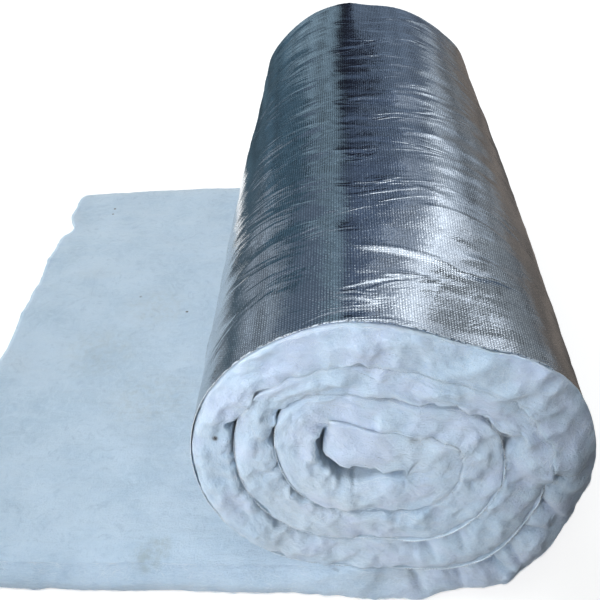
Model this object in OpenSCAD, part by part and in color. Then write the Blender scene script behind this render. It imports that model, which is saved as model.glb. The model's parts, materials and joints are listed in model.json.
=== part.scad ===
// Foil-faced ceramic fibre blanket, loosely rolled up with its free end laid out flat.
// The roll lies along Y on the floor, which is the plane Z = 0. The foil side faces outwards,
// so it is under the flat end and outside every turn.

/* [Blanket] */
// Width of the blanket, which is the length of the roll
blanket_width = 610; // [300:5:1220]
// Thickness of the fibre blanket
blanket_thickness = 25; // [13:1:50]
// Radius of the soft edges of the open fibre face
edge_radius = 8; // [1:0.5:12]

/* [Foil facing] */
// Thickness of the foil and the glass cloth behind it
foil_thickness = 0.4; // [0.2:0.1:2]

/* [Winding] */
// Full turns from the innermost half turn out to the flat end
turns = 3; // [1:1:6]
// Bend radius of the open fibre face in the innermost half turn
core_radius = 9; // [4:0.5:60]
// Air gap between one turn and the next
turn_gap = 2.6; // [0.5:0.1:10]
// Straight stretch between two bends, where the loose roll sags
flat_run = 30; // [5:1:150]
// Length of the end laid out flat, up to the first bend
tail_length = 355; // [150:5:2000]
// Gap between the cut inner end and the turn around it
end_gap = 4; // [1:0.5:5]

/* [Hidden] */
$fn = 96;

// Half turn 0 is the innermost. Even half turns bend on the right, odd ones on the left.
outermost = 2 * turns;
pitch = blanket_thickness + foil_thickness + turn_gap;
function bend_radius(k) = core_radius + k * pitch / 2;
function on_right(k) = k % 2 == 0;

// Each side bends about its own axis, and the left axis is half a pitch higher.
roll_radius = bend_radius(outermost) + blanket_thickness + foil_thickness;
right_axis = [flat_run / 2, 0, roll_radius];
left_axis = [-flat_run / 2, 0, roll_radius + pitch / 2];
function bend_axis(k) = on_right(k) ? right_axis : left_axis;

// The cut inner end stops where its outer corner comes near the turn around it.
inner_corner_rise = core_radius + blanket_thickness + foil_thickness - pitch / 2;
inner_end_length = flat_run + sqrt(pow(bend_radius(1), 2) - pow(inner_corner_rise, 2)) - end_gap;

// The origin is on the floor, in the middle of the whole outline.
right_reach = flat_run / 2 + roll_radius;
left_reach = max(tail_length - flat_run / 2, flat_run / 2 + roll_radius - pitch / 2);
middle_x = (right_reach - left_reach) / 2;

// Section of the fibre: X runs from the open face out to the foil, Y across the width.
module fibre_section() {
    translate([edge_radius, -blanket_width / 2])
        square([blanket_thickness - edge_radius, blanket_width]);
    translate([0, edge_radius - blanket_width / 2])
        square([edge_radius, blanket_width - 2 * edge_radius]);
    for (side = [-1, 1])
        translate([edge_radius, side * (blanket_width / 2 - edge_radius)])
            circle(edge_radius);
}

// Section of the foil, on the outer face of the fibre.
module foil_section() {
    translate([blanket_thickness, -blanket_width / 2])
        square([foil_thickness, blanket_width]);
}

// Bends a section through half turn k.
module half_turn(k) {
    translate(bend_axis(k))
        rotate([90, 0, 0])
            rotate([0, 0, on_right(k) ? -90 : 90])
                rotate_extrude(angle = 180)
                    translate([bend_radius(k), 0])
                        children();
}

// Carries a section straight on inwards from half turn k: over the top from the right,
// along the bottom from the left.
module straight_run(k, length) {
    translate(bend_axis(k))
        rotate([0, on_right(k) ? -90 : 90, 0])
            linear_extrude(length)
                translate([bend_radius(k), 0])
                    children();
}

// Lays a section flat on the floor, up to the outermost half turn.
module flat_end() {
    translate(right_axis - [tail_length, 0, 0])
        rotate([0, 90, 0])
            linear_extrude(tail_length)
                translate([bend_radius(outermost), 0])
                    children();
}

// Takes a section along the whole winding, from the flat end to the cut inner end.
module wind() {
    translate([-middle_x, 0, 0]) {
        flat_end() children();
        for (k = [0 : outermost]) {
            half_turn(k) children();
            straight_run(k, k == 0 ? inner_end_length : flat_run) children();
        }
    }
}

module fibre_blanket() {
    color([0.77, 0.84, 0.90])
        wind() fibre_section();
}

module foil_facing() {
    color([0.62, 0.66, 0.70])
        wind() foil_section();
}

fibre_blanket();
foil_facing();
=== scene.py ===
import json
import math
import bmesh
import bpy
import numpy as np
from mathutils import Matrix, Vector

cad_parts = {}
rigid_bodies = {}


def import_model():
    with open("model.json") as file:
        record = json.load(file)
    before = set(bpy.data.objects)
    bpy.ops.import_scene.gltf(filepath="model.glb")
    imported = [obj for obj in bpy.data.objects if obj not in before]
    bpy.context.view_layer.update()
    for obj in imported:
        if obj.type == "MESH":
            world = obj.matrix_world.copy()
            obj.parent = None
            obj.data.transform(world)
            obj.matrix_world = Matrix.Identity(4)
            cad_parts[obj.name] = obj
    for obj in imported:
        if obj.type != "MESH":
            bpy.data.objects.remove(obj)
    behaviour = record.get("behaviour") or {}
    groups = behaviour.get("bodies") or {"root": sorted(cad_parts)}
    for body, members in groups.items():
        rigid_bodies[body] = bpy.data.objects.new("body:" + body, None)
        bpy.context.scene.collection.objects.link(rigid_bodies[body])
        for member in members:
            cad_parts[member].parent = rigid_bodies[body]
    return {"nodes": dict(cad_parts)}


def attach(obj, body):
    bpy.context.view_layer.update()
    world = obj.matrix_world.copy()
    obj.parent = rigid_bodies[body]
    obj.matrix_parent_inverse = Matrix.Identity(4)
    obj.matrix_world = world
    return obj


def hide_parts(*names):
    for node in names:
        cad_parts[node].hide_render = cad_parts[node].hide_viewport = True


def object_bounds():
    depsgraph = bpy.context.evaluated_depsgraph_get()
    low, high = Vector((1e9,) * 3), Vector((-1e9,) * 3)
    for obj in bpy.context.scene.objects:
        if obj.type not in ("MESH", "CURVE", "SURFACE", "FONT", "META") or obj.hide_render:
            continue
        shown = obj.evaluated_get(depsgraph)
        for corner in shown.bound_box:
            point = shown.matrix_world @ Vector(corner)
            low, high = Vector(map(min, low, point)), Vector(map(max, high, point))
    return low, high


for thing in list(bpy.data.objects):  # a starting cube would count in the box
    bpy.data.objects.remove(thing)
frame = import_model()
cadLow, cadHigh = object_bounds()
scene = bpy.context.scene
scene.view_settings.view_transform = "Standard"
print("frame loaded:", ", ".join(frame["nodes"]))

# The winding: a flat end, then half turns about two axes with short straight runs between them
winding = {
    "width": cadHigh.y - cadLow.y,
    "fibre": 0.025,
    "foil": 0.0004,
    "turnGap": 0.0026,
    "coreRadius": 0.009,
    "flatRun": 0.030,
    "turns": 3,
    "endGap": 0.004,
}
halfWidth = winding["width"] / 2
thick = winding["fibre"]
pitch = thick + winding["foil"] + winding["turnGap"]
outermost = 2 * winding["turns"]
bendRadius = [winding["coreRadius"] + k * pitch / 2 for k in range(outermost + 1)]
rollRadius = bendRadius[outermost] + thick + winding["foil"]
rightAxis = (cadHigh.x - rollRadius, rollRadius)
leftAxis = (rightAxis[0] - winding["flatRun"], rollRadius + pitch / 2)
rollMiddle = (rightAxis[0] + leftAxis[0]) / 2
tailLength = rightAxis[0] - cadLow.x
cornerRise = bendRadius[0] + thick + winding["foil"] - pitch / 2
innerEnd = winding["flatRun"] + math.sqrt(bendRadius[1] ** 2 - cornerRise ** 2) - winding["endGap"]


def stretches(depth):  # kind, half turn and length of each stretch, measured at this depth from the open face
    found = [("flat", outermost, tailLength)]
    for k in range(outermost, -1, -1):
        found.append(("bend", k, math.pi * (bendRadius[k] + depth)))
        found.append(("run", k, winding["flatRun"] if k else innerEnd))
    return found


def stripLength(depth):
    return sum(length for kind, k, length in stretches(depth))


def bendStart(wanted, depth):  # how far along the strip a half turn begins
    total = 0
    for kind, k, length in stretches(depth):
        if kind == "bend" and k == wanted:
            return total
        total += length


def turnPlace(k, share, depth):  # how far along the strip a share of half turn k lies
    return bendStart(k, depth) + share * math.pi * (bendRadius[k] + depth)


def turnCount(along, depth):  # half turns wound so far, each run between two of them counting a fifth
    places = []
    counts = []
    for k in range(outermost, -1, -1):
        places += [turnPlace(k, 0, depth), turnPlace(k, 1, depth)]
        counts += [1.2 * (outermost - k), 1.2 * (outermost - k) + 1]
    return np.interp(along, places, counts)


def rollUp(along, deep, depth):  # takes places on the flat strip to X and Z in the roll
    x = np.empty_like(along)
    z = np.empty_like(along)
    parts = stretches(depth)
    start = 0
    for number, (kind, k, length) in enumerate(parts):
        low = -1 if number == 0 else start
        high = 9 if number == len(parts) - 1 else start + length
        here = (along >= low) & (along < high)
        share = (along[here] - start) / length
        radius = bendRadius[k] + deep[here]
        axis = rightAxis if k % 2 == 0 else leftAxis
        way = 1 if k % 2 == 0 else -1  # right bends climb, left bends come down
        if kind == "flat":
            x[here] = axis[0] + length * (share - 1)
            z[here] = axis[1] - radius
        elif kind == "bend":
            turn = math.pi * (share - 0.5)
            x[here] = axis[0] + way * radius * np.cos(turn)
            z[here] = axis[1] + way * radius * np.sin(turn)
        else:
            x[here] = axis[0] - way * length * share
            z[here] = axis[1] + way * radius
        start += length
    return x, z


def smooth(value, low, high):  # 0 at low, 1 at high, eased
    share = np.clip((value - low) / (high - low), 0, 1)
    return share * share * (3 - 2 * share)


def falloff(distance, reach):  # 1 at no distance, then a bell curve
    return np.exp(-(distance / reach) ** 2)


def lumps(a, b, cellA, cellB, seed):  # smooth seeded noise from -1 to 1 with two octaves
    cells = 96
    table = np.random.default_rng(seed).uniform(-1, 1, (cells, cells))
    total = 0
    for size, share in ((1.0, 0.7), (0.47, 0.3)):
        u = (0.87 * a / cellA + 0.5 * b / cellB) / size
        v = (-0.5 * a / cellA + 0.87 * b / cellB) / size
        i = np.floor(u).astype(int)
        j = np.floor(v).astype(int)
        fu = smooth(u - i, 0, 1)
        fv = smooth(v - j, 0, 1)
        i, j = i % cells, j % cells
        iNext, jNext = (i + 1) % cells, (j + 1) % cells
        lower = table[i, j] * (1 - fu) + table[iNext, j] * fu
        upper = table[i, jNext] * (1 - fu) + table[iNext, jNext] * fu
        total += share * (lower * (1 - fv) + upper * fv)
    return total


def lumpySum(a, b, fields):  # height, cell sizes and seed of each field
    return sum(height * lumps(a, b, cellA, cellB, seed) for height, cellA, cellB, seed in fields)


# The loose winding sags and leans a little at both ends: place from the roll's middle, shift, reach
slack = {
    "fade": 0.09,
    "shifts": [
        ((-0.020, 0.160), (-0.004, 0.008), 0.020), ((0.045, 0.150), (0.006, 0.006), 0.018),
        ((0.000, 0.045), (0.000, 0.006), 0.036), ((0.070, 0.075), (-0.004, 0.004), 0.030),
        ((-0.058, 0.163), (-0.006, 0.005), 0.024), ((-0.030, 0.158), (-0.006, 0.006), 0.016),
        ((0.050, 0.228), (-0.003, -0.012), 0.028), ((0.085, 0.024), (0.008, -0.009), 0.030),
    ],
    "backFade": 0.18,
    "backShifts": [
        ((-0.125, 0.120), (0.010, -0.001), 0.050),
        ((0.105, 0.190), (-0.005, -0.002), 0.045),
    ],
    "backLean": 0.004,
}


def settle(x, y, z):  # moves rolled points as the slack winding sags
    dx = np.zeros_like(x)
    dz = np.zeros_like(z)
    frontFade = falloff(y + halfWidth, slack["fade"])
    backFade = falloff(y - halfWidth, slack["backFade"])
    for fade, shifts in ((frontFade, slack["shifts"]), (backFade, slack["backShifts"])):
        for place, shift, reach in shifts:
            near = fade * np.exp(-((x - rollMiddle - place[0]) ** 2 + (z - place[1]) ** 2) / (2 * reach ** 2))
            dx += near * shift[0]
            dz += near * shift[1] * smooth(z, 0.0, 0.02)
    inside = smooth(z, 0.03, 0.08)
    back = falloff(y - halfWidth, slack["fade"]) * inside * slack["backLean"]
    dx += back * lumps(x, z, 0.06, 0.06, 71)
    dz += back * lumps(x, z, 0.06, 0.06, 72)
    return x + dx, y, np.maximum(z + dz, 0)


def meshObject(name, bm):
    mesh = bpy.data.meshes.new(name)
    bm.to_mesh(mesh)
    bm.free()
    return smoothObject(name, mesh)


def smoothObject(name, mesh):
    mesh.polygons.foreach_set("use_smooth", [True] * len(mesh.polygons))
    made = bpy.data.objects.new(name, mesh)
    scene.collection.objects.link(made)
    return made


def readPlaces(mesh):
    flat = np.empty(len(mesh.vertices) * 3)
    mesh.vertices.foreach_get("co", flat)
    return flat.reshape(-1, 3).T.copy()


def writePlaces(mesh, x, y, z):
    mesh.vertices.foreach_set("co", np.column_stack((x, y, z)).ravel())
    mesh.update()


def edgesAlong(bm, axis, keep=lambda middle: True):
    found = []
    for edge in bm.edges:
        first, second = edge.verts[0].co, edge.verts[1].co
        if abs(first[axis] - second[axis]) > 1e-5 and keep((first + second) / 2):
            found.append(edge)
    return found


# Camera, at the photograph's viewing angle
view = {
    "place": Vector((0.0743, -0.7093, 0.5301)),
    "down": math.radians(34.364),
    "yaw": math.radians(-2.831),
    "roll": math.radians(-1.355),
    "lens": 53.44,
}


def makeCamera():
    data = bpy.data.cameras.new("camera")
    data.lens = view["lens"]
    data.sensor_width = 36
    data.clip_start = 0.02
    camera = bpy.data.objects.new("camera", data)
    scene.collection.objects.link(camera)
    level = math.cos(view["down"])
    forward = Vector((math.sin(view["yaw"]) * level, math.cos(view["yaw"]) * level, -math.sin(view["down"])))
    right = Vector((math.cos(view["yaw"]), -math.sin(view["yaw"]), 0))
    up = right.cross(forward)
    turned = Matrix.Rotation(-view["roll"], 3, forward)
    right, up = turned @ right, turned @ up
    aimed = Matrix((right, up, -forward)).transposed().to_4x4()
    camera.matrix_world = Matrix.Translation(view["place"]) @ aimed
    scene.camera = camera


makeCamera()
print("camera set")

# Front edge of the foil by half turn and share of it: how far it lies behind the wool, or proud of it
foilEdge = [
    (6, 0.00, 0.013), (6, 0.40, 0.011), (6, 0.70, 0.005), (6, 1.00, 0.0040),
    (5, 0.06, 0.0030), (5, 0.16, -0.0008), (5, 1.00, -0.0008),
    (4, 0.10, -0.0030), (4, 0.42, -0.0026), (4, 0.52, 0.006), (4, 1.00, 0.007),
    (3, 0.30, 0.006), (3, 0.45, -0.0006), (3, 1.00, -0.0010),
    (2, 0.08, -0.0038), (2, 0.55, -0.0036), (2, 0.68, 0.004), (2, 1.00, 0.001),
    (1, 0.08, -0.0006), (1, 0.25, 0.002), (1, 0.45, -0.0006), (1, 1.00, -0.0006),
    (0, 0.15, 0.002), (0, 1.00, 0.006),
]


def foilSetBack(count):
    marks = [1.2 * (outermost - k) + share for k, share, back in foilEdge]
    return np.interp(count, marks, [back for k, share, back in foilEdge])


# Fibre blanket: a flat mat, shaped at its edges and then rolled up
mat = {
    "rollColumn": 0.0018,
    "tailColumn": 0.004,
    "rows": 16,
    "rowGrade": 5.6,
    "layers": 18,
    "tailRow": 0.003,
    "tipColumns": 12,
    "foilSide": 0.0248,
    "endBulge": 0.0042,
    "endReach": 0.012,
    "endLumps": [(0.0030, 0.026, 0.014, 11), (0.0018, 0.011, 0.008, 12)],
    "sharedLumps": [(0.0046, 0.026, 0.026, 11), (0.0022, 0.011, 0.011, 12)],
    "ragged": [(0.0030, 0.045, 0.012, 18), (0.0014, 0.009, 0.007, 19)],
    "billows": (0.0026, 0.0016),
    "billowDrop": 0.0014,
    "pillowLumps": 0.0055,
    "pillowDepth": 2.1,
    "openSwell": 0.0025,
    "swellReach": 0.05,
    "lip": 0.0014,
    "creaseStep": (0.014, 0.032),
    "creaseWidth": 0.0024,
    "creaseDepth": 0.006,
    "openRound": 0.0027,
    "foilRound": 0.0024,
    "tear": 0.0020,
    "tearReach": 0.010,
    "frill": 0.0012,
    "frillReach": 0.008,
    "tongueReach": 0.009,
    "coreFill": 0.0082,
    "notch": (0.186, 0.022, 0.010),
    "tipRound": 0.012,
    "tipEdge": 0.0034,
    "rightLip": 0.0034,
    "wander": 0.0032,
    "ripples": [  # on the flat end
        (0.0006, 0.050, 0.012, 15), (0.0005, 0.020, 0.0065, 16),
        (0.0018, 0.11, 0.08, 17), (0.0011, 0.045, 0.035, 37),
    ],
}
# the far edge of the flat end was cut askew: places along it and how much is gone
farTrim = ([0, 0.09, 0.18, 0.21, 0.36], [0.030, 0.020, 0.013, 0.006, 0.0])
# half turn, share of it, slant and strength of the creases between the pillows of the lower right
pillowCreases = [
    (6, 0.03, 0.3, 0.7), (6, 0.13, -0.2, 0.6), (6, 0.205, 0.4, 1.0), (6, 0.27, -0.3, 0.6),
    (6, 0.33, 0.5, 0.9), (6, 0.42, -0.5, 0.6), (6, 0.50, 0.3, 0.8),
    (4, 0.076, 0.3, 0.7), (4, 0.20, -0.3, 0.5),
]
midDepth = thick / 2
stripEnd = stripLength(midDepth)
tailColumns = round(tailLength / mat["tailColumn"])
rollColumns = round((stripEnd - tailLength) / mat["rollColumn"])
columns = tailColumns + rollColumns
tailShare = 2 * tailColumns / columns - 1


def gradedRow(share):  # share from -1 to 1 across the strip, rows crowding to both edges
    inward = 1 - np.abs(share)
    reach = halfWidth * np.sinh(mat["rowGrade"] * inward) / math.sinh(mat["rowGrade"])
    return np.sign(share) * (halfWidth - reach)


def finerRows(bm, rows, step, wanted):  # cuts the wide rows up where they are wanted finer
    rowShare = 2 / rows
    for row in range(rows):
        low = -1 + row * rowShare
        width = gradedRow(np.array(low + rowShare)) - gradedRow(np.array(low))
        cuts = round(float(width) / step) - 1
        if cuts > 0:
            inRow = edgesAlong(bm, 1, lambda middle: low < middle.y < low + rowShare and wanted(middle))
            bmesh.ops.subdivide_edges(bm, edges=inRow, cuts=cuts)


def flatMat():
    bm = bmesh.new()
    bmesh.ops.create_cube(bm, size=2)
    bmesh.ops.subdivide_edges(bm, edges=edgesAlong(bm, 2), cuts=mat["layers"] - 1)
    bmesh.ops.subdivide_edges(bm, edges=edgesAlong(bm, 1), cuts=mat["rows"] - 1)
    bmesh.ops.subdivide_edges(bm, edges=edgesAlong(bm, 0), cuts=columns - 1)
    tipShare = 2 * mat["tipColumns"] / columns - 1 + 1e-4

    def shown(middle):  # the open face of the flat end, and all round its tip
        return middle.x < tailShare + 1e-4 and (middle.z > 0.999 or middle.x < tipShare)

    finerRows(bm, mat["rows"], mat["tailRow"], shown)
    bmesh.ops.recalc_face_normals(bm, faces=bm.faces)
    return bm


def roundedCorner(reach, deep, radius):  # bends the square corner between an end and a face into an arc
    a = np.clip(1 - reach / radius, 0, 1)
    b = np.clip(1 - deep / radius, 0, 1)
    size = np.maximum(a, b)
    share = math.pi / 4 * np.minimum(a, b) / np.maximum(size, 1e-9)
    turn = np.where(a >= b, share, math.pi / 2 - share)
    moved = (a > 0) & (b > 0)
    reachNew = np.where(moved, radius * (1 - size * np.cos(turn)), reach)
    return reachNew, np.where(moved, radius * (1 - size * np.sin(turn)), deep)


# Places on the front end where the turns stand apart: from the roll's middle and up, reach, how far, how deep
openGaps = [
    ((-0.0895, 0.160), 0.0040, 0.0055, 0.014), ((-0.0890, 0.135), 0.005, 0.0020, 0.010),
    ((-0.0625, 0.168), 0.004, 0.0040, 0.012), ((-0.0640, 0.148), 0.006, 0.0018, 0.010),
    ((0.0763, 0.1526), 0.0060, 0.0125, 0.030), ((0.0480, 0.156), 0.0045, 0.0080, 0.025),
    ((0.0984, 0.1446), 0.0035, 0.0045, 0.012), ((-0.0164, 0.2067), 0.0045, 0.0075, 0.020),
    ((-0.0680, 0.185), 0.005, 0.0042, 0.010), ((-0.0420, 0.198), 0.004, 0.0036, 0.010),
    ((0.0002, 0.1925), 0.007, 0.0070, 0.020), ((0.0400, 0.181), 0.004, 0.0044, 0.012),
    ((0.0590, 0.168), 0.005, 0.0034, 0.012), ((0.0285, 0.1665), 0.003, 0.0040, 0.012),
    ((-0.0545, 0.104), 0.005, 0.0030, 0.010), ((-0.0640, 0.076), 0.005, 0.0025, 0.010),
    ((-0.0090, 0.160), 0.013, -0.0085, 0.040), ((-0.0270, 0.166), 0.009, -0.0060, 0.030),
    ((-0.0133, 0.166), 0.003, 0.0070, 0.020),
]


def creaseField(along, seed):  # short creases on the squeezed open side, one every few centimetres
    draw = np.random.default_rng(seed)
    places = np.cumsum(draw.uniform(*mat["creaseStep"], 120)) + 0.02
    strength = 0.7 * draw.uniform(0.15, 1.0, 120) ** 1.5
    after = np.clip(np.searchsorted(places, along), 1, 119)
    nearest = np.where(places[after] - along < along - places[after - 1], after, after - 1)
    return strength[nearest] * np.exp(-np.abs(along - places[nearest]) / mat["creaseWidth"])


def pillowField(along, deep):  # the deeper creases between the pillows of the lower right, narrowing outwards
    depth = np.zeros_like(along)
    for k, share, slant, strength in pillowCreases:
        off = np.abs(along - turnPlace(k, share, midDepth) - slant * deep)
        depth = np.maximum(depth, strength * np.exp(-off / (0.0055 - 0.15 * np.minimum(deep, 0.02))))
    return mat["pillowDepth"] * depth * falloff(deep, 0.015)


def endShifts(across):  # the notch in the edge of the flat end, and how much further in the inner end reaches
    place, half, depth = mat["notch"]
    notch = depth * falloff(across - place, half)
    return notch, mat["tongueReach"] * falloff(across + halfWidth, slack["fade"])


def shapeMat(along, across, deep):
    flatX, flatZ = rollUp(along, deep, midDepth)
    flatX = flatX - rollMiddle
    side = np.sign(across)
    front = across < 0
    reach = halfWidth - np.abs(across)
    count = turnCount(along, midDepth)
    lay = along + np.where(front, 0.0, 3.7)  # the two ends differ
    onTail = 1 - smooth(along, tailLength - 0.09, tailLength - 0.02)
    setBack = np.where(front, foilSetBack(count), 0.004)
    merged = smooth(np.where(front, foilSetBack(count), 0.0), 0.002, 0.005)
    # the wool of two turns closes over the foil between them
    mergeOut = np.where(count > 2.3, merged, 0)
    mergeIn = smooth(np.where(front & (count < 5.9), foilSetBack(count + 2.4), 0.0), 0.002, 0.005)
    lowerRight = smooth(along, tailLength + 0.015, tailLength + 0.11) * (1 - smooth(count, 0.50, 0.80))
    openRound = mat["openRound"] - 0.0023 * mergeIn + 0.0170 * onTail
    foilRound = mat["foilRound"] - 0.0020 * mergeOut + 0.0145 * lowerRight
    drawn = 1 + 0.8 * onTail  # the edge of the flat end rolls off slowly
    reachNew, deepNew = roundedCorner(reach / drawn, deep, openRound)
    reachNew = reachNew * drawn
    back, rest = roundedCorner(reachNew, thick - deepNew, foilRound)
    rounded = deepNew > thick - foilRound
    reachNew = np.where(rounded, back, reachNew)
    deepNew = np.where(rounded, thick - rest, deepNew)
    atEnd = falloff(reach, mat["endReach"])
    nearEnd = falloff(reach, mat["swellReach"])
    # the cut ends bulge and are lumpy, and lumps run on across turns that have closed up
    joined = np.maximum(mergeIn * (1 - smooth(deep, 0.35 * thick, 0.85 * thick)),
                        mergeOut * smooth(deep, 0.15 * thick, 0.65 * thick))
    swell = 1 - np.where(deep < midDepth, 0.25, 0.60) * (1 - joined) * ((deep - midDepth) / midDepth) ** 2
    swell = mat["endBulge"] * swell * (1 - 0.6 * onTail)
    single = lumpySum(lay, deep, mat["endLumps"])
    shared = lumpySum(flatX, flatZ, mat["sharedLumps"])
    swell += (single * (1 - joined) + shared * joined) * (1 - 0.6 * onTail)
    coarse, fine = mat["billows"]
    billow = coarse * np.hypot(lumps(flatX, flatZ, 0.015, 0.015, 40), 0.15)
    billow += fine * np.hypot(lumps(flatX, flatZ, 0.0075, 0.0075, 41), 0.15)
    billow = billow - mat["billowDrop"] + 0.0008 * lumps(flatX, flatZ, 0.0055, 0.0055, 13)
    swell += billow * (1 - 0.7 * onTail)
    swell += mat["pillowLumps"] * lowerRight * lumps(lay, deep, 0.032, 0.030, 24)
    # the open edge is torn and ragged where the turns stand apart
    loose = np.where(front, 0.25 + 0.75 * smooth(-flatX, 0.015, 0.05), 0.5) * (1 - onTail) * (1 - mergeIn)
    loose += 0.8 * smooth(count, 7.8, 8.2)
    torn = lumps(lay, across, 0.0085, 0.030, 14)
    spiky = 1 - 2 * np.abs(lumps(lay, across, 0.0070, 0.030, 26))
    pit = smooth(lumps(lay, deep, 0.0062, 0.0050, 20), 0.05, 0.65)
    pinch = np.where(front, creaseField(along, 21), creaseField(along, 22))
    pinch = pinch * np.exp(-deep / 0.008) * (1 - mergeIn)
    pinch = (pinch + np.where(front, pillowField(along, deep), 0)) * (1 - onTail)
    tuft = 0.0010 * np.maximum(0, -torn) * falloff(deep, 0.006)
    tuft -= 0.0020 * pit * falloff(deep, 0.008)
    endShift = atEnd * (swell - mat["creaseDepth"] * pinch + loose * tuft)
    # the open face swells against the turn inside it
    lip = mat["lip"] * smooth(setBack, 0.002, 0.005) * (1 - smooth(reach, 0.3 * setBack, 0.8 * setBack))
    lip = lip * smooth(count, 0.02, 0.25) + 0.0022 * (count > 8.1) * falloff(reach, 0.006)
    onRight = smooth(count, 0.15, 0.40) * (1 - smooth(count, 0.75, 1.05)) * front
    lip += mat["rightLip"] * onRight * falloff(reach, 0.6 * np.maximum(setBack, 0.002))
    # the seams between turns that have closed up wander
    wander = mat["wander"] * lumps(flatX, flatZ, 0.016, 0.016, 30) * falloff(reach, 0.0045)
    lip -= wander * mergeOut
    swellOpen = mat["openSwell"] * (0.25 + 0.75 * nearEnd) - 0.0022 * pinch
    swellOpen += wander * mergeIn
    tear = 0.0013 + mat["tear"] * torn - mat["tear"] * spiky
    swellOpen -= tear * loose * falloff(reach, mat["tearReach"])
    onTongue = smooth(count, 8.0, 8.2)
    frill = (mat["frill"] + 0.0020 * onTongue) * lumps(lay, across, 0.0050, 0.020, 25)
    swellOpen += frill * (1 - onTail) * falloff(reach, mat["frillReach"])
    for place, size, pull, inward in openGaps:
        away = (flatX - place[0]) ** 2 + (flatZ - place[1]) ** 2
        gap = np.exp(-away / (2 * size ** 2) - (reach / inward) ** 2)
        swellOpen -= np.where(front, gap * pull, 0)
    inCore = (count > 6.6) * falloff(reach, 0.03)
    coreFill = smooth(flatX, -0.022, 0.006) * np.where(front, 0.75, 0.5)
    coreFill += 0.16 * lumps(lay, across, 0.018, 0.016, 23)
    swellOpen += mat["coreFill"] * inCore * coreFill * (1 - 0.6 * onTongue)
    swellOpen = swellOpen * (1 - onTail) + onTail * lumpySum(along, across, mat["ripples"])
    deepNew = deepNew - swellOpen * np.clip(1 - deep / thick, 0, 1) ** 1.1
    deepNew = np.minimum(deepNew, mat["foilSide"]) + lip * np.clip(deep / thick, 0, 1) ** 4
    # the cut inner end is rounded and torn, and reaches further in at the front
    tip = np.clip(1 - (stripEnd - along) / mat["tipRound"], 0, 1) ** 2
    left, deepNew = roundedCorner(stripEnd - along, deepNew, mat["tipEdge"])
    left, fromFoil = roundedCorner(left, thick - deepNew, mat["tipEdge"] / 2)
    deepNew = thick - fromFoil
    left, reachNew = roundedCorner(left, reachNew, mat["tipEdge"])
    along = stripEnd - left
    acrossNew = side * (halfWidth - reachNew + endShift - 0.007 * tip * atEnd)
    acrossNew -= np.interp(along, *farTrim) * smooth(across, 0.08, halfWidth)
    ragged = lumpySum(across, deep, mat["ragged"])
    notch, tongue = endShifts(across)
    alongNew = along + (ragged + notch) * np.exp(-along / 0.02)
    alongNew += (tongue + 1.4 * ragged) * smooth(along, stripEnd - 0.035, stripEnd)
    return alongNew, acrossNew, deepNew


def makeBlanket():
    made = meshObject("fibre_blanket_wool", flatMat())
    mesh = made.data
    u, v, w = readPlaces(mesh)
    along = np.interp(u, [-1, tailShare, 1], [0, tailLength, stripEnd])
    across = gradedRow(v)
    deep = (1 - w) / 2 * thick
    alongNew, acrossNew, deepNew = shapeMat(along, across, deep)
    x, z = rollUp(alongNew, deepNew, midDepth)
    x, y, z = settle(x, acrossNew, z)
    writePlaces(mesh, x, y, z)
    lay = mesh.attributes.new("winding", "FLOAT_VECTOR", "POINT")
    lay.data.foreach_set("vector", np.column_stack((along, across, deep)).ravel())
    return made


blanketPiece = makeBlanket()
print("fibre blanket rolled:", len(blanketPiece.data.polygons), "faces")

# Foil facing: a thin creased sheet on the outer face of the blanket
sheet = {
    "column": 0.006,
    "outerColumn": 0.0065,
    "rows": 24,
    "outerRow": 0.0019,
    "tipColumns": 6,
    "creases": 130,
    "creaseHalf": (0.010, 0.060),
    "creaseWidth": (0.0012, 0.0030),
    "creaseHeight": (0.00012, 0.0008),
    "leftLean": -0.35,
    "folds": [  # the most marked ones: from and to, off the roll's middle and along it, rise, width
        ((-0.013, -0.219), (0.050, -0.230), 0.0010, 0.0034),
        ((-0.001, -0.250), (0.031, -0.248), 0.0007, 0.0028),
        ((0.009, 0.042), (0.070, 0.056), 0.0009, 0.0030),
        ((0.019, -0.044), (0.058, -0.042), 0.0009, 0.0030),
        ((0.013, 0.252), (0.082, 0.289), 0.0009, 0.0032),
        ((-0.056, -0.136), (-0.015, -0.139), 0.0007, 0.0026),
        ((0.009, -0.130), (0.044, -0.144), 0.0007, 0.0026),
        ((-0.099, 0.082), (-0.054, 0.075), 0.0006, 0.0024),
        ((0.040, -0.188), (0.062, -0.199), 0.0008, 0.0028),
    ],
    "waves": 0.0008,
    "edge": [(0.0004, 0.012, 34), (0.0007, 0.006, 35)],  # how the cut edge wavers: height, reach, seed
}
foilDepth = thick + winding["foil"] / 2
foilLength = stripLength(foilDepth)
outerFrom = bendStart(outermost, foilDepth)
outerTo = bendStart(outermost - 2, foilDepth) - winding["flatRun"]  # where it meets the flat end


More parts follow.
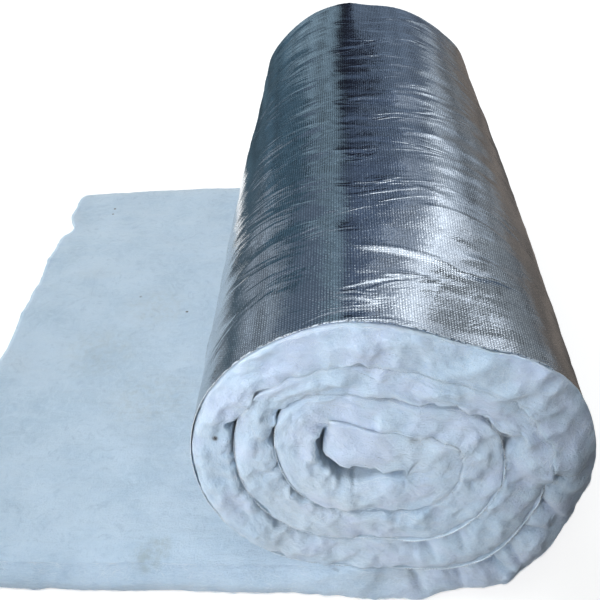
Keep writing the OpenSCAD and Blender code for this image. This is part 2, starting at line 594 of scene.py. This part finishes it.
def flatSheet():
    outerColumns = round((outerTo - outerFrom) / sheet["outerColumn"])
    before = round(outerFrom / sheet["column"])
    after = round((foilLength - outerTo) / sheet["column"])
    total = before + outerColumns + after
    bm = bmesh.new()
    bmesh.ops.create_grid(bm, x_segments=total, y_segments=sheet["rows"], size=1)
    marks = [-1, 2 * before / total - 1, 2 * (before + outerColumns) / total - 1, 1]
    tipShare = 2 * sheet["tipColumns"] / total - 1

    def shown(middle):  # the outer turn, and the tip of the flat end
        return middle.x < tipShare or marks[1] - 1e-4 < middle.x < marks[2] + 1e-4

    finerRows(bm, sheet["rows"], sheet["outerRow"], shown)
    for vert in bm.verts:
        place = np.interp(vert.co.x, marks, [0, outerFrom, outerTo, foilLength])
        vert.co = (place, gradedRow(np.array(vert.co.y)), 0)
    bmesh.ops.recalc_face_normals(bm, faces=bm.faces)
    uvs = bm.loops.layers.uv.new("foilFlat")
    for face in bm.faces:
        for loop in face.loops:
            loop[uvs].uv = loop.vert.co.xy
    bmesh.ops.solidify(bm, geom=bm.faces[:], thickness=winding["foil"])
    inner = max(vert.co.z for vert in bm.verts) - winding["foil"] / 4
    for face in bm.faces:  # the glass cloth shows on the inner side
        face.material_index = 1 if all(vert.co.z > inner for vert in face.verts) else 0
    return bm


def topPlace(x):  # how far along the strip the top of the roll is, this far from its middle
    x = x + rollMiddle
    if x >= rightAxis[0]:
        turn = math.acos((x - rightAxis[0]) / (bendRadius[outermost] + foilDepth))
        return turnPlace(outermost, 0.5 + turn / math.pi, foilDepth)
    if x >= leftAxis[0]:
        return turnPlace(outermost, 1, foilDepth) + rightAxis[0] - x
    turn = math.acos((leftAxis[0] - x) / (bendRadius[outermost - 1] + foilDepth))
    return turnPlace(outermost - 1, 0.5 - turn / math.pi, foilDepth)


def foilCreases(along, across):  # long thin folds round the roll, slightly oblique
    draw = np.random.default_rng(31)
    height = np.zeros_like(along)
    for number in range(sheet["creases"]):
        middle = draw.uniform(outerFrom + 0.06, outerTo - 0.06)
        place = draw.uniform(-halfWidth + 0.03, halfWidth)
        half = draw.uniform(*sheet["creaseHalf"])
        onLeft = middle > turnPlace(outermost - 1, 0.1, foilDepth)
        slope = draw.uniform(-0.20, 0.15) + sheet["leftLean"] * onLeft
        bow = draw.uniform(-0.4, 0.4)
        width = draw.uniform(*sheet["creaseWidth"])
        rise = draw.uniform(*sheet["creaseHeight"])
        ahead = along - middle
        near = np.abs(ahead) < half
        off = across[near] - place - slope * ahead[near] - bow * ahead[near] ** 2 / half
        height[near] += rise * np.exp(-np.abs(off) / width) * (1 - (ahead[near] / half) ** 2)
    for start, stop, rise, width in sheet["folds"]:
        first, last = topPlace(start[0]), topPlace(stop[0])
        share = (along - first) / (last - first)
        off = across - start[1] - share * (stop[1] - start[1]) + 0.002 * lumps(along, along * 0, 0.016, 1, 36)
        height += rise * falloff(off, width) * np.clip(1.2 - (2 * share - 1) ** 2, 0, 1)
    return height


def makeFoil():
    made = meshObject("foil_facing_sheet", flatSheet())
    mesh = made.data
    along, across, layer = readPlaces(mesh)
    low, high = layer.min(), layer.max()
    deep = thick + (high - layer) / (high - low) * winding["foil"]
    outer = smooth(along, outerFrom + 0.05, outerFrom + 0.12)
    outer = outer * (1 - smooth(along, outerTo - 0.08, outerTo - 0.02))
    waves = sheet["waves"] * (1 + lumps(along, across, 0.055, 0.020, 33))
    deep = deep + outer * (foilCreases(along, across) + waves)
    reach = halfWidth - np.abs(across)
    wanted = np.where(across < 0, foilSetBack(turnCount(along, foilDepth)), 0.001)
    for height, cell, seed in sheet["edge"]:
        wanted += height * lumps(along, across * 0, cell, 1, seed)
    across = across - np.sign(across) * wanted * falloff(reach, 0.03)
    across = across - np.interp(along, *farTrim) * smooth(across, 0.08, halfWidth)
    notch, tongue = endShifts(across)
    along = along + (0.002 + notch) * np.exp(-along / 0.02)
    along = along + (tongue - 0.006) * smooth(along, foilLength - 0.035, foilLength)
    x, z = rollUp(along, deep, foilDepth)
    x, y, z = settle(x, across, z)
    writePlaces(mesh, x, y, z)
    for face in mesh.polygons:  # the cut edge is crisp
        heights = layer[list(face.vertices)]
        face.use_smooth = bool(np.ptp(heights) < winding["foil"] / 2)
    return made


foilPiece = makeFoil()
print("foil facing rolled:", len(foilPiece.data.polygons), "faces")


# Loose fibres that lie on the cut ends and across the seams between closed turns
fluff = {
    "front": 9700,
    "back": 5600,
    "length": (0.005, 0.020),
    "thickness": 0.00014,
    "lift": 0.0011,
    "points": 4,
    "sides": 3,
}


def fibreLines(count, side, seed):  # centre lines in the flat strip, then rolled up with it
    draw = np.random.default_rng(seed)
    steps = np.linspace(0, 1, fluff["points"])
    length = draw.uniform(*fluff["length"], (count, 1))
    spot = draw.uniform(-0.45, 1.45, (count, 1))  # near half of them lie along the seams and cross them
    atSeam = (spot < 0) | (spot > 1)
    heading = draw.normal(0, 0.6, (count, 1)) * np.where(atSeam, 1.7, 1.0)
    along = draw.uniform(0.02, stripEnd - 0.006, (count, 1))
    along = along + length * np.cos(heading) * (steps - 0.5)
    curl = draw.normal(0, 0.25, (count, 1)) * length * 4 * steps * (1 - steps)
    deep = thick * np.clip(spot, 0, 1) + length * np.sin(heading) * (steps - 0.5) + curl
    onMat = np.clip(deep, 0.0003, thick - 0.0003)
    wound = turnCount(along.ravel(), midDepth).reshape(along.shape)
    beside = np.where(deep > onMat, wound > 2.4, wound < 5.9)  # there is a turn on that side
    past = np.clip(deep - onMat, -0.003, 0.003) * (along > tailLength) * beside  # what crosses to it
    lift = fluff["lift"] * draw.uniform(0.1, 1, (count, 1)) ** 2 * np.sin(math.pi * steps) * 1.6 - 0.0001
    across = np.full_like(along, side * halfWidth)
    along, across, onMat = shapeMat(along.ravel(), across.ravel(), onMat.ravel())
    x, z = rollUp(along, onMat, midDepth)
    past = past.ravel() * smooth(x - rollMiddle, -0.040, -0.005)  # the turns stand apart on the left
    x, z = rollUp(along, onMat + past, midDepth)
    x, y, z = settle(x, across + side * lift.ravel(), z)
    return np.column_stack((x, y, z)).reshape(count, fluff["points"], 3)


def makeFluff(name, lines):
    count, points, sides = len(lines), fluff["points"], fluff["sides"]
    heading = np.gradient(lines, axis=1)
    heading /= np.linalg.norm(heading, axis=2, keepdims=True) + 1e-12
    across = np.cross(heading, (0.31, 0.87, 0.38))
    across /= np.linalg.norm(across, axis=2, keepdims=True) + 1e-12
    upward = np.cross(heading, across)
    thickness = fluff["thickness"] * np.sin(np.linspace(0.25, math.pi - 0.25, points))[None, :, None] / 2
    rings = []
    for corner in range(sides):
        turn = 2 * math.pi * corner / sides
        rings.append(lines + thickness * (math.cos(turn) * across + math.sin(turn) * upward))
    places = np.stack(rings, axis=2).reshape(-1, 3)
    ring = np.arange(sides)
    following = (ring + 1) % sides
    walls = []
    for step in range(points - 1):
        low, high = step * sides, (step + 1) * sides
        walls.append(np.column_stack((low + ring, low + following, high + following, high + ring)))
    walls = np.concatenate(walls)
    starts = np.arange(count)[:, None, None] * points * sides
    caps = np.stack((ring[::-1], (points - 1) * sides + ring))
    faces = (starts + walls).reshape(-1, 4).tolist() + (starts + caps).reshape(-1, sides).tolist()
    mesh = bpy.data.meshes.new(name)
    mesh.from_pydata(places.tolist(), [], faces)
    return smoothObject(name, mesh)


fluffPieces = [
    makeFluff("front_loose_fibres", fibreLines(fluff["front"], -1, 51)),
    makeFluff("back_loose_fibres", fibreLines(fluff["back"], 1, 52)),
]
print("loose fibres laid:", sum(len(piece.data.polygons) for piece in fluffPieces), "faces")


# Materials
def newMaterial(name):
    made = bpy.data.materials.new(name)
    made.use_nodes = True
    tree = made.node_tree
    return made, tree, tree.nodes["Principled BSDF"]


def setInputs(node, values):  # each is a number, a colour or the output of another node
    for name, value in values.items():
        socket = node.inputs[name]
        if isinstance(value, bpy.types.NodeSocket):
            node.id_data.links.new(value, socket)
        elif value is not None:
            socket.default_value = (*value, 1) if socket.type == "RGBA" else value


def addNode(tree, kind, values=None, **settings):
    made = tree.nodes.new("ShaderNode" + kind)
    for key, value in settings.items():
        setattr(made, key, value)
    setInputs(made, values or {})
    return made


def addMath(tree, operation, *values):
    return addNode(tree, "Math", dict(enumerate(values)), operation=operation).outputs[0]


def addTimes(tree, first, second):
    return addMath(tree, "MULTIPLY", first, second)


def addNoise(tree, vector, scale, detail=2.0, roughness=0.5, stretch=None, turn=0.0, distortion=0.0):
    if stretch:  # turned first, then stretched
        values = {"Vector": vector, "Rotation": (0, 0, math.radians(turn))}
        values["Scale"] = [1 / size for size in stretch]
        vector = addNode(tree, "Mapping", values, vector_type="TEXTURE").outputs["Vector"]
    values = {"Vector": vector, "Scale": scale, "Detail": detail,
              "Roughness": roughness, "Distortion": distortion}
    return addNode(tree, "TexNoise", values).outputs["Fac"]


def addLines(tree, noise, width):  # thin wandering lines where the noise crosses its middle
    off = addMath(tree, "ABSOLUTE", addMath(tree, "SUBTRACT", noise, 0.5))
    return addRange(tree, off, width, 0.0)


def addRange(tree, value, low, high, toLow=0.0, toHigh=1.0):
    values = {"Value": value, "From Min": low, "From Max": high, "To Min": toLow, "To Max": toHigh}
    return addNode(tree, "MapRange", values, interpolation_type="SMOOTHSTEP").outputs["Result"]


def addMix(tree, share, first, second):
    return addNode(tree, "Mix", {0: share, 6: first, 7: second}, data_type="RGBA").outputs[2]


def addBump(tree, height, distance, strength=1.0, normal=None):
    values = {"Height": height, "Distance": distance, "Strength": strength, "Normal": normal}
    return addNode(tree, "Bump", values).outputs["Normal"]


def spotGroup():  # a soft round mark at a place on the piece
    group = bpy.data.node_groups.new("soft_spot", "ShaderNodeTree")
    for name, kind in (("Vector", "Vector"), ("Place", "Vector"), ("Radius", "Float")):
        group.interface.new_socket(name, in_out="INPUT", socket_type="NodeSocket" + kind)
    group.interface.new_socket("Mask", in_out="OUTPUT", socket_type="NodeSocketFloat")
    inside = group.nodes.new("NodeGroupInput").outputs
    ends = {0: inside["Vector"], 1: inside["Place"]}
    away = addNode(group, "VectorMath", ends, operation="DISTANCE").outputs["Value"]
    share = addMath(group, "DIVIDE", away, inside["Radius"])
    setInputs(group.nodes.new("NodeGroupOutput"), {"Mask": addRange(group, share, 1.0, 0.3)})
    return group


def addSpots(tree, group, vector, spots):
    total = None
    for place, radius in spots:
        values = {"Vector": vector, "Place": place, "Radius": radius}
        mask = addNode(tree, "Group", values, node_tree=group).outputs["Mask"]
        total = mask if total is None else addMath(tree, "MAXIMUM", total, mask)
    return total


# marks on the wool: place and radius
specks = [
    ((-0.1896, 0.2187, 0.025), 0.0020), ((-0.1894, 0.2064, 0.025), 0.0018),
    ((-0.1237, 0.0308, 0.025), 0.0028), ((-0.0733, 0.0066, 0.025), 0.0020),
    ((-0.1020, -0.1469, 0.025), 0.0014), ((-0.1279, -0.1755, 0.025), 0.0014),
    ((-0.1225, -0.2258, 0.025), 0.0012), ((0.0001, -0.3080, 0.1515), 0.0026),
]
stains = [((-0.106, 0.013, 0.025), 0.045), ((-0.146, -0.056, 0.025), 0.050), ((-0.087, -0.126, 0.025), 0.055)]
smears = [((-0.060, -0.293, 0.022), 0.016), ((-0.052, -0.285, 0.023), 0.013)]
woolLook = {
    "light": (0.540, 0.678, 0.812),
    "shade": (0.448, 0.592, 0.728),
    "warm": (0.545, 0.600, 0.640),
    "lilac": (0.530, 0.622, 0.785),
    "streak": (0.395, 0.530, 0.665),
    "hair": (0.640, 0.755, 0.870),
    "strand": (0.780, 0.860, 0.930),
    "stain": (0.360, 0.375, 0.320),
    "smear": (0.300, 0.365, 0.370),
    "speck": (0.050, 0.050, 0.055),
}


def woolMaterial():
    made, tree, shader = newMaterial("ceramic_wool")
    space = addNode(tree, "TexCoord").outputs["Object"]
    lay = addNode(tree, "Attribute", attribute_name="winding").outputs["Vector"]
    spot = spotGroup()
    blotch = addNoise(tree, space, 22, detail=4)
    streak = addNoise(tree, lay, 1, detail=5, roughness=0.65, stretch=(70, 60, 420), distortion=2.2)
    ripples = addNoise(tree, lay, 1, detail=3, stretch=(48, 170, 170), distortion=0.6)
    fuzz = addNoise(tree, space, 800, detail=3, roughness=0.7)
    tufts = addNoise(tree, space, 150, detail=3, roughness=0.6)
    puffs = addMath(tree, "ABSOLUTE", addMath(tree, "SUBTRACT", addNoise(tree, space, 210, detail=2), 0.5))
    split = addNode(tree, "SeparateXYZ", {0: lay})
    onEnd = addRange(tree, split.outputs[2], 0.0005, 0.0030)  # the cut ends, not the open face
    onRoll = addRange(tree, split.outputs[0], tailLength - 0.02, tailLength + 0.02)
    hairs = addLines(tree, addNoise(tree, space, 380, detail=2, roughness=0.7, distortion=1.2), 0.08)
    threads = addLines(tree, addNoise(tree, space, 800, detail=1, distortion=1.8), 0.10)
    warm = addRange(tree, addNoise(tree, space, 9, detail=2), 0.58, 0.78, 0, 0.5)
    lilac = addTimes(tree, addRange(tree, addNoise(tree, space, 34), 0.40, 0.62, 0, 0.7), onEnd)
    lilac = addTimes(tree, lilac, onRoll)
    stained = addRange(tree, tufts, 0.35, 0.75, 0.05, 0.22)
    stained = addTimes(tree, addSpots(tree, spot, space, stains), stained)
    smear = addRange(tree, tufts, 0.35, 0.65, 0.1, 0.45)
    smear = addTimes(tree, addSpots(tree, spot, space, smears), smear)
    colour = addMix(tree, addRange(tree, blotch, 0.3, 0.7), woolLook["shade"], woolLook["light"])
    for share, tint in (
            (warm, "warm"),
            (addRange(tree, streak, 0.48, 0.65, 0, 0.7), "light"),
            (addRange(tree, streak, 0.48, 0.30, 0, 0.7), "streak"),
            (addTimes(tree, hairs, 0.30), "hair"),
            (lilac, "lilac"),
            (stained, "stain"),
            (smear, "smear"),
            (addSpots(tree, spot, space, specks), "speck")):
        colour = addMix(tree, share, colour, woolLook[tint])
    puffs = addTimes(tree, puffs, onEnd)
    streak = addTimes(tree, streak, onEnd)
    normal = None
    for height, distance, strength in (  # from broad to fine
            (ripples, 0.0040, 0.20), (tufts, 0.0025, 0.20), (puffs, 0.0050, 0.17), (streak, 0.0012, 0.08),
            (hairs, 0.0003, 0.22), (threads, 0.0002, 0.40), (fuzz, 0.0010, 0.65)):
        normal = addBump(tree, height, distance, strength, normal)
    setInputs(shader, {
        "Base Color": colour, "Normal": normal, "Roughness": 0.95, "Specular IOR Level": 0.15,
        "Sheen Weight": 0.25, "Sheen Roughness": 0.6,
        "Subsurface Weight": 0.7, "Subsurface Radius": (1, 1, 1), "Subsurface Scale": 0.003,
    })
    return made


def fibreMaterial():
    made, tree, shader = newMaterial("loose_fibre")
    space = addNode(tree, "TexCoord").outputs["Object"]
    tone = addRange(tree, addNoise(tree, space, 90), 0.3, 0.7)
    colour = addMix(tree, tone, woolLook["light"], woolLook["strand"])
    setInputs(shader, {"Base Color": colour, "Roughness": 0.7})
    return made


foilLook = {
    "bright": (0.93, 0.96, 0.98),
    "dull": (0.76, 0.79, 0.82),
    # painted shade in the valleys of the weave
    "valleyShade": (0.35, 0.38, 0.42),
    "weave": 0.0018,
    "relief": 0.00034,
    "dome": 0.08,
    "creases": [((11, 60, 1), 7, 0.13), ((15, 75, 1), -14, 0.15)],
    "fray": (0.0018, 0.0003),
    # pale frayed glass at the cut edges, also a painted glint
    "frayAndGlint": (0.60, 0.69, 0.78),
}


def foilMaterial():
    made, tree, shader = newMaterial("embossed_foil")
    flat = addNode(tree, "UVMap", uv_map="foilFlat").outputs["UV"]
    split = addNode(tree, "SeparateXYZ", {0: flat})
    # every crossing of the weave is a small dome that leans its own way
    cell = addNode(tree, "CombineXYZ")
    chance = addNode(tree, "TexWhiteNoise", {"Vector": cell.outputs[0]}, noise_dimensions="2D")
    ways = addNode(tree, "SeparateColor", {0: chance.outputs["Color"]})
    dome, lean = 1.0, 0.0
    for axis in (0, 1):
        threads = addMath(tree, "DIVIDE", split.outputs[axis], foilLook["weave"])
        setInputs(cell, {axis: addMath(tree, "FLOOR", threads)})
        wave = addMath(tree, "SINE", addTimes(tree, threads, math.pi))
        dome = addTimes(tree, addTimes(tree, wave, wave), dome)
        inCell = addMath(tree, "SUBTRACT", addMath(tree, "FRACT", threads), 0.5)
        lean = addMath(tree, "MULTIPLY_ADD", inCell, addMath(tree, "SUBTRACT", ways.outputs[axis], 0.5), lean)
    # painted shade: the colour darkens in the valleys between the weave's domes, each crossing's dark rim
    # wider or narrower at random
    weaveShade = addMath(tree, "MULTIPLY_ADD", chance.outputs["Value"], 1.2, 0.7)
    weaveShade = addTimes(tree, dome, weaveShade)
    weave = addTimes(tree, dome, addMath(tree, "ADD", lean, foilLook["dome"]))
    patches = addNoise(tree, flat, 26, detail=3)
    folds = addNoise(tree, flat, 1, detail=3, roughness=0.55, stretch=(9, 70, 1), turn=4, distortion=0.4)
    dimples = addNoise(tree, flat, 300, detail=2, roughness=0.6)
    dents = addNoise(tree, flat, 62, detail=2, distortion=0.5)
    normal = addBump(tree, folds, 0.0014, 0.24)
    normal = addBump(tree, dents, 0.0014, 0.24, normal)
    for stretch, turn, width in foilLook["creases"]:
        lines = addNoise(tree, flat, 1, detail=2, stretch=stretch, turn=turn, distortion=0.7)
        lines = addLines(tree, lines, width)
        where = addRange(tree, addNoise(tree, flat, 1, stretch=(7, 16, 1), turn=turn), 0.54, 0.66)
        normal = addBump(tree, addTimes(tree, lines, where), 0.00040, 0.9, normal)
    normal = addBump(tree, dimples, 0.00022, 0.35, normal)
    normal = addBump(tree, weave, foilLook["relief"], 1, normal)
    colour = addMix(tree, addRange(tree, patches, 0.35, 0.7), foilLook["dull"], foilLook["bright"])
    # the painted shade darkens the colour towards the valleys
    colour = addMix(tree, weaveShade, foilLook["valleyShade"], colour)
    # the cut edges fray, and the glass shows there in pale dashes, which are also painted glints of the edge
    wide, thin = (halfWidth - inward for inward in foilLook["fray"])
    frayAndGlint = addRange(tree, addMath(tree, "ABSOLUTE", split.outputs[1]), wide, thin)
    dashes = addRange(tree, addNoise(tree, flat, 330, detail=1), 0.42, 0.56)
    frayAndGlint = addTimes(tree, frayAndGlint, dashes)
    rough = addRange(tree, patches, 0.3, 0.7, 0.13, 0.07)
    setInputs(shader, {
        "Base Color": addMix(tree, frayAndGlint, colour, foilLook["frayAndGlint"]),
        "Roughness": addMath(tree, "MULTIPLY_ADD", frayAndGlint, 0.5, rough),
        "Metallic": addMath(tree, "SUBTRACT", 1.0, frayAndGlint),
        "Normal": normal,
    })
    return made


def clothMaterial():
    made, tree, shader = newMaterial("glass_cloth")
    flat = addNode(tree, "UVMap", uv_map="foilFlat").outputs["UV"]
    patches = addNoise(tree, flat, 160, detail=3)
    colour = addMix(tree, addRange(tree, patches, 0.35, 0.7), (0.46, 0.58, 0.68), (0.60, 0.73, 0.84))
    setInputs(shader, {"Base Color": colour, "Roughness": 0.6, "Normal": addBump(tree, patches, 0.0006, 0.5)})
    return made


blanketPiece.data.materials.append(woolMaterial())
foilPiece.data.materials.append(foilMaterial())
foilPiece.data.materials.append(clothMaterial())
looseFibre = fibreMaterial()
for piece in fluffPieces:
    piece.data.materials.append(looseFibre)
    piece.visible_shadow = False  # single fibres are too fine to darken the wool
print("materials made")

for piece, node, slot in ((blanketPiece, "fibre_blanket", "fibre"), (foilPiece, "foil_facing", "foil")):
    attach(piece, "root")
    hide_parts(node)
for piece in fluffPieces:
    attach(piece, "root")

# Studio: pale floor, soft light from above, a softbox at the left, fill that fades to the right,
# a board that shades the right of the front end, and cards that only the foil mirrors
studio = {
    "floorColour": (0.44, 0.445, 0.45),
    "floorWhite": 0.76,
    "floorHalf": 6.0,
    "fillLeft": 1.50,
    "fillRight": 0.10,
    "room": (0.15, 0.20, 0.27),
    "fillColour": (0.96, 0.99, 1.0),
    "top": 0.36,
    "topFrom": (-0.34, -0.28, 0.90),
    "topSpread": 60,
    "side": 0.25,
    "sideFrom": (-0.36, -0.92, 0.45),
    "sideAim": (0.03, -0.31, 0.20),
    "sideSize": 0.35,
    "sideSpread": 34,
    "sideColour": (1.0, 0.95, 0.96),
    "shadeFrom": (0.165, -0.395),
    "shadeTo": (0.300, -0.335),
    "shadeHigh": 0.225,
    "cardDistance": 2.2,
    "mottle": 7.0,
}
# azimuth from the roll's axis and elevation of each card in degrees, what it gives off, how much nearer it is
cards = {
    "edge_card": ((-62, -33), (-6, 24), (0.290, 0.345, 0.405), 0.00),
    "teal_card": ((-33, -17), (-6, 24), (0.062, 0.122, 0.172), 0.00),
    "left_card": ((-18, -4), (-6, 46), (0.195, 0.280, 0.345), 0.02),
    "dark_card": ((-6, 2.2), (-6, 24), (0.003, 0.005, 0.016), 0.10),
    "dim_card": ((-6, 2.8), (24, 28), (0.030, 0.048, 0.085), 0.10),
    "dusk_card": ((-6, 8), (28, 46), (0.110, 0.155, 0.240), 0.08),
    "right_card": ((2, 11), (-6, 27.5), (0.155, 0.210, 0.295), 0.02),
    "slate_card": ((11, 18), (-6, 25), (0.115, 0.150, 0.205), 0.02),
    "mid_card": ((8, 22), (25, 46), (0.360, 0.420, 0.510), 0.06),
    "far_card": ((18, 37), (8, 24), (0.380, 0.440, 0.510), 0.00),
    "dull_card": ((37, 56), (8, 46), (0.260, 0.290, 0.315), 0.00),
    "low_card": ((18, 56), (-6, 8), (0.220, 0.240, 0.260), 0.00),
    "bright_card": ((22, 39), (23, 46), (1.18, 1.28, 1.40), 0.10),
    "ceiling_card": ((-75, 75), (46, 80), (0.40, 0.46, 0.54), 0.00),
    "glint_card": ((5, 60), (47, 64), (1.50, 1.60, 1.70), 0.05),
    "rim_card": ((140, 220), (5, 60), (0.80, 0.85, 0.90), 0.00),
}
# dull flags on the floor, seen only in the foil: reach along X and Y, and what they give off
flags = {
    "left_flag": ((-1.6, -0.245), (-1.8, 0.42), (0.190, 0.225, 0.255)),
    "left_far_flag": ((-1.6, -0.05), (0.42, 2.6), (0.050, 0.090, 0.120)),
    "back_flag": ((-0.05, 0.245), (0.42, 2.6), (0.110, 0.150, 0.190)),
    "right_flag": ((0.245, 1.9), (-1.8, 2.6), (0.140, 0.115, 0.095)),
}


def makeFloor():
    bm = bmesh.new()
    bmesh.ops.create_grid(bm, x_segments=2, y_segments=2, size=studio["floorHalf"])
    bmesh.ops.translate(bm, verts=bm.verts, vec=(0, 0, -0.0006))
    floor = meshObject("floor", bm)
    made, tree, shader = newMaterial("pale_floor")
    rays = addNode(tree, "LightPath").outputs
    seen = addMath(tree, "MAXIMUM", rays["Is Camera Ray"], rays["Is Glossy Ray"])
    seen = addMath(tree, "MAXIMUM", seen, rays["Is Transmission Ray"])
    glow = addTimes(tree, seen, studio["floorWhite"])
    setInputs(shader, {"Base Color": studio["floorColour"], "Roughness": 0.9,
                       "Emission Color": (1, 1, 1), "Emission Strength": glow})
    floor.data.materials.append(made)


def foilOnly(card, name, colour):  # a glowing card that lights nothing and shows only in gloss
    made, tree, shader = newMaterial(name)
    space = addNode(tree, "TexCoord").outputs["Object"]
    mottle = addRange(tree, addNoise(tree, space, studio["mottle"], detail=3), 0.36, 0.64, 0.35, 1.65)
    setInputs(shader, {"Base Color": (0, 0, 0), "Emission Color": colour, "Emission Strength": mottle})
    card.data.materials.append(made)
    card.visible_camera = False
    card.visible_diffuse = False
    card.visible_shadow = False


def makeFlag(name, alongX, alongY, colour):
    bm = bmesh.new()
    bmesh.ops.create_grid(bm, x_segments=2, y_segments=2, size=0.5)
    bmesh.ops.scale(bm, verts=bm.verts, vec=(alongX[1] - alongX[0], alongY[1] - alongY[0], 1))
    bmesh.ops.translate(bm, verts=bm.verts, vec=(sum(alongX) / 2, sum(alongY) / 2, 0.0015))
    foilOnly(meshObject(name, bm), name, colour)


def makeCard(name, across, up, colour, nearer):
    middle = Vector((rollMiddle, 0, 0.15))
    distance = studio["cardDistance"] - nearer
    bm = bmesh.new()
    bmesh.ops.create_grid(bm, x_segments=8, y_segments=8, size=1)
    for vert in bm.verts:
        azimuth = math.radians(across[0] + (vert.co.x + 1) / 2 * (across[1] - across[0]))
        elevation = math.radians(up[0] + (vert.co.y + 1) / 2 * (up[1] - up[0]))
        level = math.cos(elevation)
        vert.co = middle + distance * Vector(
            (math.sin(azimuth) * level, math.cos(azimuth) * level, math.sin(elevation)))
    foilOnly(meshObject(name, bm), name, colour)


def makeShade():  # a black board before the right of the front end, hidden from the camera
    start, stop, high = studio["shadeFrom"], studio["shadeTo"], studio["shadeHigh"]
    bm = bmesh.new()
    corners = ((*start, 0), (*stop, 0), (*stop, high), (*start, high))
    bm.faces.new([bm.verts.new(corner) for corner in corners])
    board = meshObject("shade_board", bm)
    made, tree, shader = newMaterial("black_board")
    setInputs(shader, {"Base Color": (0.02, 0.02, 0.02), "Roughness": 1})
    board.data.materials.append(made)
    board.visible_camera = False
    board.visible_glossy = False


def makeLamp(name, kind, away, **settings):  # its light comes from the way that away points
    data = bpy.data.lights.new(name, kind)
    for key, value in settings.items():
        setattr(data, key, value)
    lamp = bpy.data.objects.new(name, data)
    lamp.rotation_euler = away.to_track_quat("Z", "Y").to_euler()
    scene.collection.objects.link(lamp)
    return lamp


def makeLight():
    world = bpy.data.worlds.new("studio")
    scene.world = world
    world.use_nodes = True
    tree = world.node_tree
    fill = tree.nodes["Background"]
    around = addNode(tree, "TexCoord").outputs["Generated"]
    split = addNode(tree, "SeparateXYZ", {0: around})
    strength = addRange(tree, split.outputs[0], -1.0, 1.0, studio["fillLeft"], studio["fillRight"])
    setInputs(fill, {"Color": studio["fillColour"], "Strength": strength})
    rays = addNode(tree, "LightPath").outputs
    light = fill.outputs[0]
    # the foil mirrors a dim room past the cards, and the backdrop is white
    for ray, colour in (("Is Glossy Ray", studio["room"]), ("Is Camera Ray", (1, 1, 1))):
        other = addNode(tree, "Background", {"Color": colour}).outputs[0]
        light = addNode(tree, "MixShader", {0: rays[ray], 1: light, 2: other}).outputs[0]
    setInputs(tree.nodes["World Output"], {0: light})
    spread = math.radians(studio["topSpread"])
    makeLamp("top", "SUN", Vector(studio["topFrom"]), energy=studio["top"], angle=spread)
    away = Vector(studio["sideFrom"]) - Vector(studio["sideAim"])
    spread = math.radians(studio["sideSpread"])
    side = makeLamp("side", "AREA", away, energy=studio["side"], spread=spread,
                    size=studio["sideSize"], color=studio["sideColour"])
    side.location = studio["sideFrom"]


makeFloor()
makeShade()
makeLight()
for name, (across, up, colour, nearer) in cards.items():
    makeCard(name, across, up, colour, nearer)
for name, (alongX, alongY, colour) in flags.items():
    makeFlag(name, alongX, alongY, colour)
print("studio set")

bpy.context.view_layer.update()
for piece in (blanketPiece, foilPiece, *fluffPieces):
    print("triangles:", piece.name, sum(len(face.vertices) - 2 for face in piece.data.polygons))
